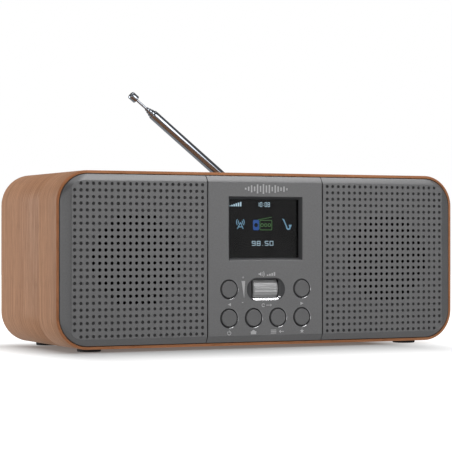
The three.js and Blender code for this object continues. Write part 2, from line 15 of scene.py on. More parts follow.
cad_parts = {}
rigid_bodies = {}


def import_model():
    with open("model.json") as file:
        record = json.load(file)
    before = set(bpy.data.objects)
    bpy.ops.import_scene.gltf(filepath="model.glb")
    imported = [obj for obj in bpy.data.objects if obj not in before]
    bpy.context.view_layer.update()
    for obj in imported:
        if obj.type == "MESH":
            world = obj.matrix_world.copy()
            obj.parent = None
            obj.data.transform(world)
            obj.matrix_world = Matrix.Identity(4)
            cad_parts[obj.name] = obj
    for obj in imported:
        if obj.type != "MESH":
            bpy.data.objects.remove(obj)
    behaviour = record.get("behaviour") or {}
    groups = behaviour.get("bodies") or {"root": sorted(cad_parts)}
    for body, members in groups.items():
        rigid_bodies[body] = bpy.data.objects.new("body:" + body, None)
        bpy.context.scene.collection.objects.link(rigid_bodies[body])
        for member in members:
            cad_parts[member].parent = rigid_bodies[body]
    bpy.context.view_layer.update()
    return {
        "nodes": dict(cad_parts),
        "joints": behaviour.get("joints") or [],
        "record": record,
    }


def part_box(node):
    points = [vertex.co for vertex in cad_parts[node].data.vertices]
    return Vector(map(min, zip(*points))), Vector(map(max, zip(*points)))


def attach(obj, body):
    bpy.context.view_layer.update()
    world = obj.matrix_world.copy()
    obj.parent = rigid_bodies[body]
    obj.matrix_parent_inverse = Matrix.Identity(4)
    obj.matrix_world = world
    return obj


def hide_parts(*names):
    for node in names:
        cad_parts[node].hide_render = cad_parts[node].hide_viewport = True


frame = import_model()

BODY_OF = {node: body for body, nodes in frame["record"]["behaviour"]["bodies"].items() for node in nodes}
JOINTS = {joint["name"]: joint for joint in frame["joints"]}

# ---- sizes

FACE_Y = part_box("control_fascia")[0].y * 1000


def cad_box(node):
    """Lowest and highest corner of a CAD node as (x, depth, z)."""
    return [(p.x * 1000, p.y * 1000 - FACE_Y, p.z * 1000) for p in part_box(node)]


def centre_of(node):
    low, high = cad_box(node)
    return [(a + b) / 2 for a, b in zip(low, high)]


SLEEVE_LOW, SLEEVE_HIGH = cad_box("cabinet_sleeve")
MID_Z = (SLEEVE_LOW[2] + SLEEVE_HIGH[2]) / 2
HALF_WIDTH, HALF_HEIGHT = SLEEVE_HIGH[0], SLEEVE_HIGH[2] - MID_Z
CORNER, WALL, FRONT_LIP, REAR_LIP = 20, 9, 1.8, 2.5
FRONT_SHOULDER, REAR_SHOULDER = 13, 102.4
VENEER_JOINT = 34  # depth of the fine joint line all round the sleeve

PANEL_HALF = (cad_box("right_grille")[1][0], cad_box("right_grille")[1][2] - MID_Z)
FACE_HALF = (129.7, 47.7)  # flat part of the front, inside the bevel
FACE_CORNER, PANEL_CORNER = (7.5, 4.5), (17.8, 17.8)
BEVEL_DEPTH, PANEL_BACK, PANEL_WALL = 2.8, 9.5, 2.4
SEAM_IN, SEAM_OUT = cad_box("control_fascia")[1][0], cad_box("right_grille")[0][0]
SEAM_ROUND = 0.22

# The grille's holes; first is the outermost column's distance from the middle. Blind holes end in a cone.
HOLE = {"pitch": 4, "columns": 22, "rows": 24, "radius": 1.0, "first": 127.8, "sides": 16}
HOLE_ROUND = (0.1, 0.12)  # width and depth of the holes' broken edge
PIT_DEPTH, PIT_TIP = 0.4, 1.15
SOUND_ROWS = (7, 9, 11, 13, 13, 15, 15, 15, 15, 13, 13, 11, 9, 7)  # open holes in each row over a driver
SOUND_COLUMN = 10  # the column that the open holes are centred on

BUTTONS = {name: centre_of(f"{name}_button") for name in "previous next power home menu favourite".split()}
WINDOW = {"half": (26, 20.1), "z": MID_Z + 19.1}
WHEEL = {"radius": 8, "half": 8.75, "ribs": 26, "depth": 7.9, "z": centre_of("navigation_wheel")[2]}
DISH = {"half": (13.45, 7.3), "z": WHEEL["z"] - 0.3}
SLOT_HALF = (9.6, 5.8)

PIVOT = Vector([1000 * v for v in JOINTS["aerial_turn"]["pos_m"]]) - Vector((0, FACE_Y, 0))
ROD = Vector(JOINTS["aerial_pull_2"]["axis"]).normalized()
BACK = Vector((0, 1, 0))
ACROSS = BACK.cross(ROD)

# ---- node trees


def srgb(red, green, blue):
    """A colour of 0 to 255 per channel as linear light."""
    shares = [v / 255 for v in (red, green, blue)]
    return [((v + 0.055) / 1.055) ** 2.4 if v > 0.04 else v / 12.92 for v in shares] + [1]


class Tree:
    """A material under construction: makes nodes, and links sockets given by number or by name."""

    def __init__(self, name):
        self.material = bpy.data.materials.new(name)
        self.material.use_nodes = True
        self.nodes = self.material.node_tree.nodes
        self.shader = self.nodes["Principled BSDF"]

    def make(self, kind, inputs=(), **settings):
        node = self.nodes.new("ShaderNode" + kind)
        for key, value in settings.items():
            setattr(node, key, value)
        for socket, value in dict(inputs).items():
            self.feed(node.inputs[socket], value)
        return node

    def feed(self, socket, value):
        if isinstance(value, bpy.types.NodeSocket):
            self.material.node_tree.links.new(value, socket)
        else:
            socket.default_value = value

    def place(self, scale):
        source = self.make("TexCoord").outputs["Object"]
        return self.make("Mapping", {"Vector": source, "Scale": scale}).outputs[0]

    def noise(self, scale, vector=None, detail=3.0, rough=0.55):
        vector = vector or self.make("TexCoord").outputs["Object"]
        inputs = {"Vector": vector, "Scale": scale, "Detail": detail, "Roughness": rough}
        return self.make("TexNoise", inputs).outputs[0]

    def range(self, value, low, high, to_low=0.0, to_high=1.0):
        return self.make("MapRange", {0: value, 1: low, 2: high, 3: to_low, 4: to_high}).outputs[0]

    def math(self, operation, a, b=0.0):
        return self.make("Math", {0: a, 1: b}, operation=operation).outputs[0]

    def mix(self, factor, a, b):
        return self.make("Mix", {0: factor, 6: a, 7: b}, data_type="RGBA").outputs[2]

    def bump(self, height, distance_mm):
        inputs = {"Height": height, "Distance": distance_mm / 1000, "Strength": 1.0}
        return self.make("Bump", inputs).outputs[0]

    def done(self, **inputs):
        for name, value in inputs.items():
            self.feed(self.shader.inputs[name.replace("_", " ")], value)
        return self.material


def scaled(colour, factor):
    return [min(1, v * factor) for v in colour[:3]] + [1]


def finish(name, colour, roughness, metal=0.0, grain=0.35, relief=0.02, mottle=0.08, stretch=(1, 1, 1),
           wear=0.0, **more):
    """A surface with fine grain in colour, gloss and relief, broad mottling, and worn edges.

    The colour's channels run from 0 to 255. Grain is the size of a grain and relief its depth, in mm. Mottle
    and wear are shares of the colour.
    """
    t = Tree(name)
    colour = srgb(*colour)
    spot = t.place(stretch)
    fine = t.noise(1000 / grain, spot)
    broad = t.noise(28, detail=2.0)
    shade = t.range(t.math("ADD", t.math("MULTIPLY", fine, 0.6), t.math("MULTIPLY", broad, 0.4)), 0.3, 0.7)
    base = t.mix(shade, scaled(colour, 1 - mottle), scaled(colour, 1 + mottle))
    if wear:
        edges = t.range(t.make("NewGeometry").outputs["Pointiness"], 0.52, 0.62, 0, wear)
        base = t.mix(t.math("MULTIPLY", edges, t.noise(400)), base, scaled(colour, 2.2))
    gloss = t.range(shade, 0, 1, max(0.02, roughness * 0.88), min(1, roughness * 1.12))
    return t.done(Base_Color=base, Roughness=gloss, Metallic=metal, Normal=t.bump(fine, relief), **more)


def veneer(name, light, dark, pores):
    """Wood veneer whose grain runs round the sleeve.

    The map called girth holds metres round the sleeve and metres back along it. Pores is how dark they are.
    """
    t = Tree(name)
    girth = t.make("UVMap", uv_map="girth").outputs[0]

    def along(round_scale, back_scale):
        return t.make("Mapping", {"Vector": girth, "Scale": (round_scale, back_scale, 1)}).outputs[0]

    warp = t.math("MULTIPLY", t.noise(1.0, along(9, 30), 2.0), 0.004)
    bent = t.make("VectorMath", {0: along(1, 1), 1: warp}, operation="ADD").outputs[0]

    def streaks(round_scale, back_scale, detail):
        spot = t.make("Mapping", {"Vector": bent, "Scale": (round_scale, back_scale, 1)}).outputs[0]
        return t.noise(1.0, spot, detail, 0.6)

    broad, fine, hair = streaks(5, 110, 2.0), streaks(18, 800, 3.0), streaks(90, 2200, 2.0)
    blend = t.math("ADD", t.math("MULTIPLY", broad, 0.15), t.math("MULTIPLY", fine, 0.85))
    base = t.mix(t.range(blend, 0.34, 0.66), dark, light)
    depth = t.make("SeparateXYZ", {0: girth}).outputs["Y"]
    # Darker towards the front edge, fading out by 22 mm back from the front.
    base = t.mix(t.range(depth, 0.003, 0.022, 0.32, 0.0), base, scaled(dark, 0.6))
    open_pores = t.range(hair, 0.34, 0.46, 1, 0)
    base = t.mix(t.math("MULTIPLY", open_pores, pores), base, scaled(dark, 0.45))
    edges = t.range(t.make("NewGeometry").outputs["Pointiness"], 0.52, 0.6, 0, 0.35)
    base = t.mix(edges, base, scaled(light, 1.15))
    relief = t.bump(t.math("SUBTRACT", fine, t.math("MULTIPLY", open_pores, 0.8)), 0.03)
    gloss = t.range(fine, 0.3, 0.7, 0.58, 0.44)
    return t.done(Base_Color=base, Roughness=gloss, Normal=relief, Specular_IOR_Level=0.12)


def glow(name, colour, strength):
    """A lit shape on the display, with the panel's fine dot structure."""
    t = Tree(name)
    dots = t.make("TexVoronoi", {"Vector": t.place((1, 1, 1)), "Scale": 5000.0}).outputs["Distance"]
    lit = t.mix(t.range(dots, 0.2, 0.7), colour, scaled(colour, 0.75))
    black = [0.01, 0.01, 0.01, 1]
    return t.done(Base_Color=black, Roughness=0.3, Emission_Color=lit, Emission_Strength=strength)


def screen_glass():
    """The display's black surface, with the faint glow of its backlight inside a dead border."""
    t = Tree("display_panel")
    parts = t.make("SeparateXYZ", {0: t.make("TexCoord").outputs["Object"]})
    half_x, half_z = 0.0242, 0.0185
    side = t.math("SUBTRACT", half_x, t.math("ABSOLUTE", parts.outputs["X"]))
    up = t.math("ABSOLUTE", t.math("SUBTRACT", parts.outputs["Z"], WINDOW["z"] / 1000))
    inside = t.math("MINIMUM", side, t.math("SUBTRACT", half_z, up))
    active = t.range(inside, 0.0, 0.0006)
    cloud = t.range(t.noise(60, detail=2.0), 0.3, 0.7, 0.75, 1.15)
    level = t.math("MULTIPLY", active, cloud)
    light = t.mix(level, [0, 0, 0, 1], srgb(36, 36, 36))
    grain = t.noise(4000)
    return t.done(Base_Color=[0.004, 0.004, 0.0045, 1], Roughness=t.range(grain, 0.3, 0.7, 0.2, 0.3),
                  Normal=t.bump(grain, 0.0004), Specular_IOR_Level=0.04, Emission_Color=light,
                  Emission_Strength=1.0)


def clear_glass():
    """The window's thin clear sheet, with faint smears."""
    t = Tree("lens_glass")
    smears = t.noise(90, detail=4.0)
    tint = t.mix(smears, [0.01, 0.011, 0.012, 1], [0.016, 0.017, 0.018, 1])
    return t.done(Base_Color=tint, Roughness=t.range(smears, 0.45, 0.75, 0.02, 0.07), Alpha=0.16,
                  Normal=t.bump(smears, 0.0001))


WOOD_LIGHT, WOOD_DARK = srgb(188, 143, 111), srgb(153, 110, 82)
VENEER = veneer("wood_veneer", WOOD_LIGHT, WOOD_DARK, 0.5)
EDGE_BAND = veneer("veneer_edge_band", srgb(218, 152, 108), srgb(184, 120, 82), 0.35)
RAW_BOARD = finish("fibreboard", (120, 96, 72), 0.9, grain=0.8, relief=0.08, mottle=0.15)
PANEL = finish("panel_grey", (113, 113, 114), 0.4, metal=0.3, grain=0.8, mottle=0.16, wear=0.04,
               Specular_IOR_Level=0.9)
# Bright polished metal for the slot's lip, used only where light catches it: partly a painted highlight.
PAINTED_HIGHLIGHT_LIP = finish("polished_rim", (222, 222, 224), 0.12, metal=0.95, grain=0.5, relief=0.001, mottle=0.04)
# The blind pits: walls lighter than the panel, painted light against the pit's shade, and dark floors,
# painted shade.
PIT_WALL_PAINTED_LIGHT = finish("pit_wall", (138, 138, 139), 0.45, metal=0.1, grain=0.5, relief=0.004)
PIT_FLOOR_PAINTED_SHADE = finish("pit_floor", (62, 62, 63), 0.6, grain=0.5, relief=0.004, mottle=0.1)
# Darker grey for the recessed dish and the window's chamfer: painted shade.
RECESS_PAINTED_SHADE = finish("dish_grey", (74, 74, 76), 0.35, metal=0.2, grain=0.4, relief=0.004, mottle=0.05)
RING = finish("button_ring", (180, 180, 182), 0.12, metal=0.95, grain=0.5, relief=0.001, mottle=0.04)
CAP = finish("cap_grey", (117, 117, 118), 0.45, grain=0.6, relief=0.012, mottle=0.1, wear=0.15)
LEGEND = finish("printed_legend", (205, 205, 206), 0.6, grain=0.2, relief=0.004, mottle=0.06)
BLACK = finish("black_plastic", (26, 26, 27), 0.6, grain=0.6, relief=0.03, mottle=0.2, wear=0.3)
RUBBER = finish("foot_rubber", (20, 20, 20), 0.85, grain=0.5, relief=0.04, mottle=0.25)
SILVER = finish("wheel_silver", (186, 186, 187), 0.32, metal=0.45, grain=0.25, relief=0.004, mottle=0.05)
CHROME = finish("chrome", (155, 160, 168), 0.1, metal=1.0, grain=0.6, relief=0.0006, mottle=0.03)
STEEL = finish("zinc_steel", (160, 161, 163), 0.35, metal=1.0, grain=0.8, relief=0.003, mottle=0.1, wear=0.2)
BOARD = finish("solder_mask", (24, 84, 48), 0.4, grain=1.5, relief=0.01, mottle=0.2)
MAGNET = finish("ferrite", (44, 44, 46), 0.55, metal=0.3, grain=0.9, relief=0.03, mottle=0.2)
PAPER = finish("cone_paper", (36, 36, 36), 0.9, grain=0.7, relief=0.06, mottle=0.25)
SURROUND = finish("surround_rubber", (24, 24, 24), 0.6, grain=0.4, mottle=0.15)
COPPER = finish("coil_copper", (190, 120, 80), 0.3, metal=1.0, grain=0.25, mottle=0.15, stretch=(1, 14, 1))
RIBBON = finish("ribbon", (198, 196, 188), 0.5, grain=0.7, mottle=0.1, stretch=(1, 0.02, 0.02))
LENS = clear_glass()
SCREEN = screen_glass()

# Looks of the CAD nodes that are shown as they are.
CAD_FINISHES = {
    BLACK: ["front_baffle", "control_frame", "wheel_cradle"] + [f"{k}_switch" for k in ("wheel", *BUTTONS)],
    STEEL: ["wheel_axle", "tuner_module", "aerial_screw", "left_driver_basket", "right_driver_basket"],
    BOARD: ["control_board", "main_board"],
    RIBBON: ["ribbon_cable"],
}
for look, nodes in CAD_FINISHES.items():
    for node in nodes:
        mesh = frame["nodes"][node].data
        mesh.materials.clear()
        mesh.materials.append(look)

# ---- mesh building


def added(name, data):
    """A new object in the scene."""
    made = bpy.data.objects.new(name, data)
    bpy.context.scene.collection.objects.link(made)
    return made


def rounded(half_x, half_z, radii, steps=10, cx=0.0, cz=MID_Z):
    """Outline of a rectangle with elliptical corners, anticlockwise from the right-hand side's top corner."""
    rx, rz = radii if isinstance(radii, tuple) else (radii, radii)
    points = []
    for sx, sz, start in ((1, 1, 0), (-1, 1, 90), (-1, -1, 180), (1, -1, 270)):
        x, z = cx + sx * (half_x - rx), cz + sz * (half_z - rz)
        for i in range(steps + 1):
            a = math.radians(start + 90 * i / steps)
            points.append((x + rx * math.cos(a), z + rz * math.sin(a)))
    return points


def circle(radius, cx, cz, sides):
    turns = [2 * math.pi * (i + 0.5) / sides for i in range(sides)]
    return [(cx + radius * math.cos(a), cz + radius * math.sin(a)) for a in turns]


def between(a, b, share):
    return a + (b - a) * share


def encloses(outline, point):
    """Whether a point lies inside a closed outline."""
    inside = False
    for a, b in zip(outline, outline[1:] + outline[:1]):
        if (a.y > point.y) != (b.y > point.y) and point.x < a.x + (point.y - a.y) * (b.x - a.x) / (b.y - a.y):
            inside = not inside
    return inside


def filled(rings):
    """Triangles, as numbers of the rings' points in order, that fill the first ring around the others."""
    flat = [p for ring in rings for p in ring]
    owner = [n for n, ring in enumerate(rings) for _ in ring]
    edges, start = [], 0
    for ring in rings:
        edges += [(start + i, start + (i + 1) % len(ring)) for i in range(len(ring))]
        start += len(ring)
    points, _, faces, origin, _, _ = delaunay_2d_cdt(flat, edges, [], 1, 1e-7)
    kept = []
    for face in faces:
        owners = {owner[origin[v][0]] for v in face}
        middle = sum((points[v] for v in face), Vector((0, 0))) / 3
        in_hole = len(owners) == 1 and max(owners) > 0 and encloses(rings[max(owners)], middle)
        if not in_hole:
            kept.append([origin[v][0] for v in face])
    return kept


class Shell:
    """Points, and faces with a material number each."""

    def __init__(self):
        self.points, self.faces, self.looks, self.girth = [], [], [], []

    def add(self, face, look=0, girth=None):
        self.faces.append(tuple(face))
        self.looks.append(look)
        self.girth.append(girth)

    def ring(self, outline, depth):
        first = len(self.points)
        self.points += [(x, depth, z) for x, z in outline]
        return list(range(first, len(self.points)))

    def band(self, a, b, look=0, lengths=None):
        """Faces between two rings of equal count; lengths are the distances round them, for the wood."""
        for i in range(len(a)):
            j = (i + 1) % len(a)
            girth = None
            if lengths:
                depths = [self.points[k][1] / 1000 for k in (a[i], a[j], b[j], b[i])]
                rounds = [lengths[i], lengths[i + 1], lengths[i + 1], lengths[i]]
                girth = list(zip(rounds, depths))
            self.add((a[i], a[j], b[j], b[i]), look, girth)

    def bands(self, rings, looks=None):
        for i in range(len(rings) - 1):
            self.band(rings[i], rings[i + 1], looks[i] if looks else 0)

    def plate(self, outer, holes=(), look=0):
        """Triangles that fill a ring, with other rings left open."""
        rings = [outer, *holes]
        index = [i for ring in rings for i in ring]
        flat = [[Vector((self.points[i][0], self.points[i][2])) for i in ring] for ring in rings]
        for face in filled(flat):
            self.add([index[i] for i in face], look)

    def lathe(self, profile, place, segments=48):
        """Turns [radius, height] pairs about an axis; place makes a point of (across, up, height)."""
        turns = [2 * math.pi * i / segments for i in range(segments)]
        rings = []
        for radius, height in profile:
            if radius == 0:
                self.points.append(place(0, 0, height))
                rings.append([len(self.points) - 1] * segments)
                continue
            first = len(self.points)
            self.points += [place(radius * math.cos(a), radius * math.sin(a), height) for a in turns]
            rings.append(list(range(first, first + segments)))
        for a, b in zip(rings, rings[1:]):
            for i in range(segments):
                j = (i + 1) % segments
                face = list(dict.fromkeys((a[i], a[j], b[j], b[i])))
                if len(face) > 2:
                    self.add(face)

    def prism(self, outer, front, back, holes=(), look=0):
        """A flat plate of any outline."""
        loops = [outer, *holes]
        fronts, backs = [self.ring(p, front) for p in loops], [self.ring(p, back) for p in loops]
        self.plate(fronts[0], fronts[1:], look)
        self.plate(backs[0], backs[1:], look)
        for a, b in zip(fronts, backs):
            self.band(a, b, look)


def piece(name, shell, looks, node, sharp=35, slot=None, stands_for=True):
    """Makes the object, in place of a CAD node, and lets it ride on that node's body.

    The slot argument is not used.
    """
    mesh = bpy.data.meshes.new(name)
    mesh.from_pydata([(x / 1000, (d + FACE_Y) / 1000, z / 1000) for x, d, z in shell.points], [], shell.faces)
    for look in looks:
        mesh.materials.append(look)
    mesh.polygons.foreach_set("material_index", shell.looks)
    if any(shell.girth):
        layer = mesh.uv_layers.new(name="girth")
        flat = [uv for face, girth in zip(shell.faces, shell.girth) for uv in (girth or [(0, 0)] * len(face))]
        layer.data.foreach_set("uv", [v for uv in flat for v in uv])
    work = bmesh.new()
    work.from_mesh(mesh)
    bmesh.ops.remove_doubles(work, verts=work.verts, dist=1e-6)
    bmesh.ops.dissolve_degenerate(work, edges=work.edges, dist=1e-7)
    bmesh.ops.recalc_face_normals(work, faces=work.faces)
    work.to_mesh(mesh)
    work.free()
    mesh.shade_smooth()
    mesh.set_sharp_from_angle(angle=math.radians(sharp))
    made = added(name, mesh)
    if stands_for:
        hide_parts(node)
    slot or looks[0].name.partition(".")[0]
    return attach(made, BODY_OF[node])


def facing(cx, cz):
    """Places a lathe whose axis runs from the front to the back."""
    return lambda a, b, depth: (cx + a, depth, cz + b)


def on_rod(a, b, height):
    """Places a lathe on the aerial's own line."""
    return tuple(PIVOT + ACROSS * a + BACK * b + ROD * height)


def turned(name, profile, place, looks, node, segments=48, **more):
    """A piece made on the lathe."""
    shell = Shell()
    shell.lathe(profile, place, segments)
    return piece(name, shell, looks, node, **more)


# ---- sleeve and feet


def build_sleeve():
    """The wooden wrap: lip, outer skin, rear lip and the stepped inside, as one closed section."""
    front, back = SLEEVE_LOW[1], SLEEVE_HIGH[1]
    joint, half_joint = VENEER_JOINT, 0.15
    section = [  # inset from the outside, depth, material of the band that follows
        (FRONT_LIP, front + 0.2, 1), (FRONT_LIP - 0.2, front, 1), (0.9, front, 1), (0.45, front + 0.06, 1),
        (0.12, front + 0.3, 0), (0, front + 0.8, 0), (0, joint - half_joint, 0), (0.1, joint, 0),
        (0, joint + half_joint, 0), (0, 70, 0), (0, back - 0.5, 0), (0.15, back - 0.15, 0), (0.5, back, 1),
        (REAR_LIP - 0.2, back, 1), (REAR_LIP, back - 0.2, 2), (REAR_LIP, REAR_SHOULDER, 2),
        (WALL, REAR_SHOULDER, 2), (WALL, FRONT_SHOULDER, 2), (FRONT_LIP, FRONT_SHOULDER, 2),
    ]
    shell = Shell()

    def outline(inset):
        return rounded(HALF_WIDTH - inset, HALF_HEIGHT - inset, CORNER - inset, 14)

    outer = outline(0)
    lengths = [0.0]
    for (x0, z0), (x1, z1) in zip(outer, outer[1:] + outer[:1]):
        lengths.append(lengths[-1] + math.hypot(x1 - x0, z1 - z0) / 1000)
    rings = [shell.ring(outline(inset), depth) for inset, depth, _ in section]
    for n, (_, _, look) in enumerate(section):
        shell.band(rings[n], rings[(n + 1) % len(rings)], look, lengths)
    piece("wood_sleeve", shell, [VENEER, EDGE_BAND, RAW_BOARD], "cabinet_sleeve")


def build_foot(node):
    """A low round pad with a hollow underside."""
    high = cad_box(node)[1]
    cx, depth, _ = centre_of(node)
    radius, top = high[0] - cx, high[2]
    profile = [(0, top), (radius - 0.5, top), (radius - 0.12, top - 0.2), (radius - 0.2, 0.35),
               (radius - 0.6, 0), (4.2, 0), (3.9, 0.3), (0, 0.3)]
    turned(f"{node}_pad", profile, lambda a, b, z: (cx + a, depth + b, z), [RUBBER], node)


build_sleeve()
for foot in ("foot_front_left", "foot_front_right", "foot_back_left", "foot_back_right"):
    build_foot(foot)

# ---- front panels

BEVEL_STEPS = (-0.02, 0.0, 0.03, 0.08, 0.16, 0.26, 0.4, 0.6, 0.8, 0.92, 1.0)


def bevel_depth(share):
    """The bevel starts gently at the face and grows steeper outwards."""
    return BEVEL_DEPTH * max(0.0, share) ** 1.15


def side_outline(side, half, radii, seam, steps=12):
    """Half of a rounded rectangle, cut off at the seam."""
    whole = rounded(half[0], half[1], radii, steps)
    count = steps + 1
    corners = whole[3 * count:] + whole[:count]
    mirrored = [(side * x, z) for x, z in corners]
    return [(side * seam, MID_Z - half[1]), *mirrored, (side * seam, MID_Z + half[1])]


def panel_rings(shell, outline_at):
    """Rings of a panel from its face over the bevel to the back, then inside to the back of the face."""
    rings = []
    for share in BEVEL_STEPS:
        half = [between(FACE_HALF[i], PANEL_HALF[i], share) for i in (0, 1)]
        radii = tuple(between(FACE_CORNER[i], PANEL_CORNER[i], share) for i in (0, 1))
        seam = SEAM_ROUND * max(0, 1 - share * 6)
        rings.append(shell.ring(outline_at(half, radii, seam), bevel_depth(share)))
    rings.append(shell.ring(outline_at(PANEL_HALF, PANEL_CORNER, 0), PANEL_BACK))
    thin = [v - 2 for v in PANEL_HALF]
    rings.append(shell.ring(outline_at(thin, (15.8, 15.8), 2), PANEL_BACK))
    rings.append(shell.ring(outline_at(thin, (15.8, 15.8), 2), BEVEL_DEPTH + PANEL_WALL))
    near = [v - 1.8 for v in FACE_HALF]
    rings.append(shell.ring(outline_at(near, (8, 5), 2), PANEL_WALL))
    shell.bands(rings)
    return rings[0], rings[-1]


def build_grille(side, name, node):
    """A perforated panel: the holes over the driver go through, and the others are blind pits."""
    shell = Shell()
    face, inside = panel_rings(
        shell, lambda half, radii, inset: side_outline(side, half, radii, SEAM_OUT + inset))
    radius, sides, pitch, rows = HOLE["radius"], HOLE["sides"], HOLE["pitch"], HOLE["rows"]
    first_sound = (rows - len(SOUND_ROWS)) // 2
    fronts, backs = [], []
    for row in range(rows):
        for column in range(HOLE["columns"]):
            if column == 0 and row in (0, rows - 1):
                continue
            cx = side * (HOLE["first"] - column * pitch)
            cz = MID_Z + ((rows - 1) / 2 - row) * pitch
            mouth = shell.ring(circle(radius + HOLE_ROUND[0], cx, cz, sides), 0)
            throat = shell.ring(circle(radius, cx, cz, sides), HOLE_ROUND[1])
            fronts.append(mouth)
            shell.band(mouth, throat)
            sound = row - first_sound
            if 0 <= sound < len(SOUND_ROWS) and abs(column - SOUND_COLUMN) <= (SOUND_ROWS[sound] - 1) / 2:
                # A through hole: its wall is black, painted shade down the hole.
                exit_ring = shell.ring(circle(radius, cx, cz, sides), PANEL_WALL)
                shell.band(throat, exit_ring, 2)
                backs.append(exit_ring)
                continue
            # A blind pit: its wall is lightened, painted light, and its cone floor darkened, painted shade.
            floor = shell.ring(circle(radius, cx, cz, sides), PIT_DEPTH)
            shell.band(throat, floor, 1)
            shell.points.append((cx, PIT_TIP, cz))
            tip = len(shell.points) - 1
            for i in range(sides):
                shell.add((floor[i], floor[(i + 1) % sides], tip), 3)
    shell.plate(face, fronts)
    shell.plate(inside, backs)
    piece(name, shell, [PANEL, PIT_WALL_PAINTED_LIGHT, BLACK, PIT_FLOOR_PAINTED_SHADE], node, sharp=16)


def build_fascia():
    """The centre panel, with its display window, the buttons' wells and the wheel's dished slot."""
    shell = Shell()

    def outline(half, _, inset):
        x = SEAM_IN - inset
        return [(x, MID_Z + half[1]), (-x, MID_Z + half[1]), (-x, MID_Z - half[1]), (x, MID_Z - half[1])]

    face, inside = panel_rings(shell, outline)
    fronts, backs = [], []

    def opening(rings, looks):
        shell.bands(rings, looks)
        fronts.append(rings[0])
        backs.append(rings[-1])

    hx, hz = WINDOW["half"]
    # The window's chamfer and wall are in the darker recess grey: painted shade.
    window = ((0, 0.5, 0), (0.1, 0.5, 0.08), (1.75, 0.4, 2.3), (1.8, 0.4, PANEL_WALL))
    opening([shell.ring(rounded(hx - inset, hz - inset, radius, 4, 0, WINDOW["z"]), depth)
             for inset, radius, depth in window], (0, 3, 3))

    # Each well: a polished chamfer, then a black wall, painted shade in the gap round the cap.
    well = ((6.3, 0), (6.25, 0.03), (5.9, 0.38), (5.8, 0.5), (5.8, PANEL_WALL))
    for x, _, z in BUTTONS.values():
        opening([shell.ring(circle(radius, x, z, 48), depth) for radius, depth in well], (4, 4, 2, 2))

    # The dish and the slot's lip are in the darker recess grey: painted shade.
    hx, hz = DISH["half"]
    slot_z = WHEEL["z"]
    slot = rounded(*SLOT_HALF, 1.2, 10, -0.3, slot_z)
    dish = ((0, 0, 0.01, 0), (0.12, 0.12, 0.13, 0.1), (1.2, 0.3, 0.6, 0.3))
    rings = [shell.ring(rounded(hx - dx, hz - dz, hz - less, 10, 0, DISH["z"]), depth)
             for dx, dz, less, depth in dish]
    rings += [
        shell.ring(rounded(SLOT_HALF[0] + 0.75, SLOT_HALF[1] + 0.9, 2.2, 10, 0.3, slot_z - 0.5), 0.5),
        shell.ring(slot, 1.5),
        shell.ring(slot, PANEL_WALL),
    ]
    # The last band, the slot's wall, is black: painted shade beside the wheel.
    opening(rings, (3, 3, 3, 3, 2))
    # The lower part of the slot's lip, further up on the right, is bright polished metal. Its gloss is
    # rendered, but it is laid only where the light catches the lip, so it is partly a painted highlight; the
    # rest of the lip keeps the recess grey's painted shade.
    lip = {*rings[3], *rings[4]}
    for n, corners in enumerate(shell.faces):
        x, _, z = [sum(shell.points[i][axis] for i in corners) / len(corners) for axis in range(3)]
        if lip.issuperset(corners) and z < slot_z - (3.4 if x > 0 else 5.2):
            shell.looks[n] = 1

    shell.plate(face, fronts)
    shell.plate(inside, backs)
    piece("control_panel", shell, [PANEL, PAINTED_HIGHLIGHT_LIP, BLACK, RECESS_PAINTED_SHADE, RING], "control_fascia", sharp=16)


build_grille(-1, "left_sound_panel", "left_grille")
build_grille(1, "right_sound_panel", "right_grille")
build_fascia()

# ---- buttons and wheel


def build_button(name, x, z):
    """A slightly dished cap on a skirt and flange, with the stem that reaches its switch."""
    cap = [(0, -0.28), (2.6, -0.3), (4.6, -0.4), (4.9, -0.38), (5.1, -0.26), (5.2, -0.05), (5.25, 0.4)]
    flange = [(5.35, 1.2), (5.35, 2.9), (6.3, 2.9), (6.4, 3.0), (6.4, 3.9), (6.3, 4)]
    profile = [*cap, *flange, (1.7, 4), (1.7, 16.3), (1.6, 16.4), (0, 16.4)]
    turned(f"{name}_cap", profile, facing(x, z), [CAP], f"{name}_button", 64)


def build_wheel():
    """Ribbed roller with rounded ends on a plain bore."""
    radius, half = WHEEL["radius"], WHEEL["half"]
    per_rib, rib_height, bore = 8, 0.22, 1.8
    stations = [(-half, 0.9), (-half + 0.12, 0.5), (-half + 0.4, 0.2), (-half + 0.9, 0.05), (-half + 1.6, 0)]
    stations += [(-x, drop) for x, drop in reversed(stations)]
    shell = Shell()
    count = WHEEL["ribs"] * per_rib
    turns = [2 * math.pi * i / count for i in range(count)]
    ribbed = [rib_height * (0.5 - 0.5 * math.cos(2 * math.pi * i / per_rib)) for i in range(count)]
    sections = [(x, [radius - drop - rib for rib in ribbed]) for x, drop in stations]
    sections += [(x, [bore] * count) for x in (half, -half)]
    rings = []
    for x, radii in sections:
        first = len(shell.points)
        for r, a in zip(radii, turns):
            shell.points.append((x, WHEEL["depth"] + r * math.cos(a), WHEEL["z"] + r * math.sin(a)))
        rings.append(list(range(first, len(shell.points))))
    shell.bands(rings)
    shell.band(rings[-1], rings[0])
    piece("scroll_wheel", shell, [SILVER], "navigation_wheel", sharp=50)


for name, (x, _, z) in BUTTONS.items():
    build_button(name, x, z)
build_wheel()

# ---- flat marks for the legends and the display


def box_mark(x0, x1, z0, z1):
    return [(x0, z0), (x1, z0), (x1, z1), (x0, z1)]


def line_mark(x0, z0, x1, z1, width):
    length = math.hypot(x1 - x0, z1 - z0)
    ox, oz = -(z1 - z0) / length * width / 2, (x1 - x0) / length * width / 2
    return [(x0 + ox, z0 + oz), (x0 - ox, z0 - oz), (x1 - ox, z1 - oz), (x1 + ox, z1 + oz)]


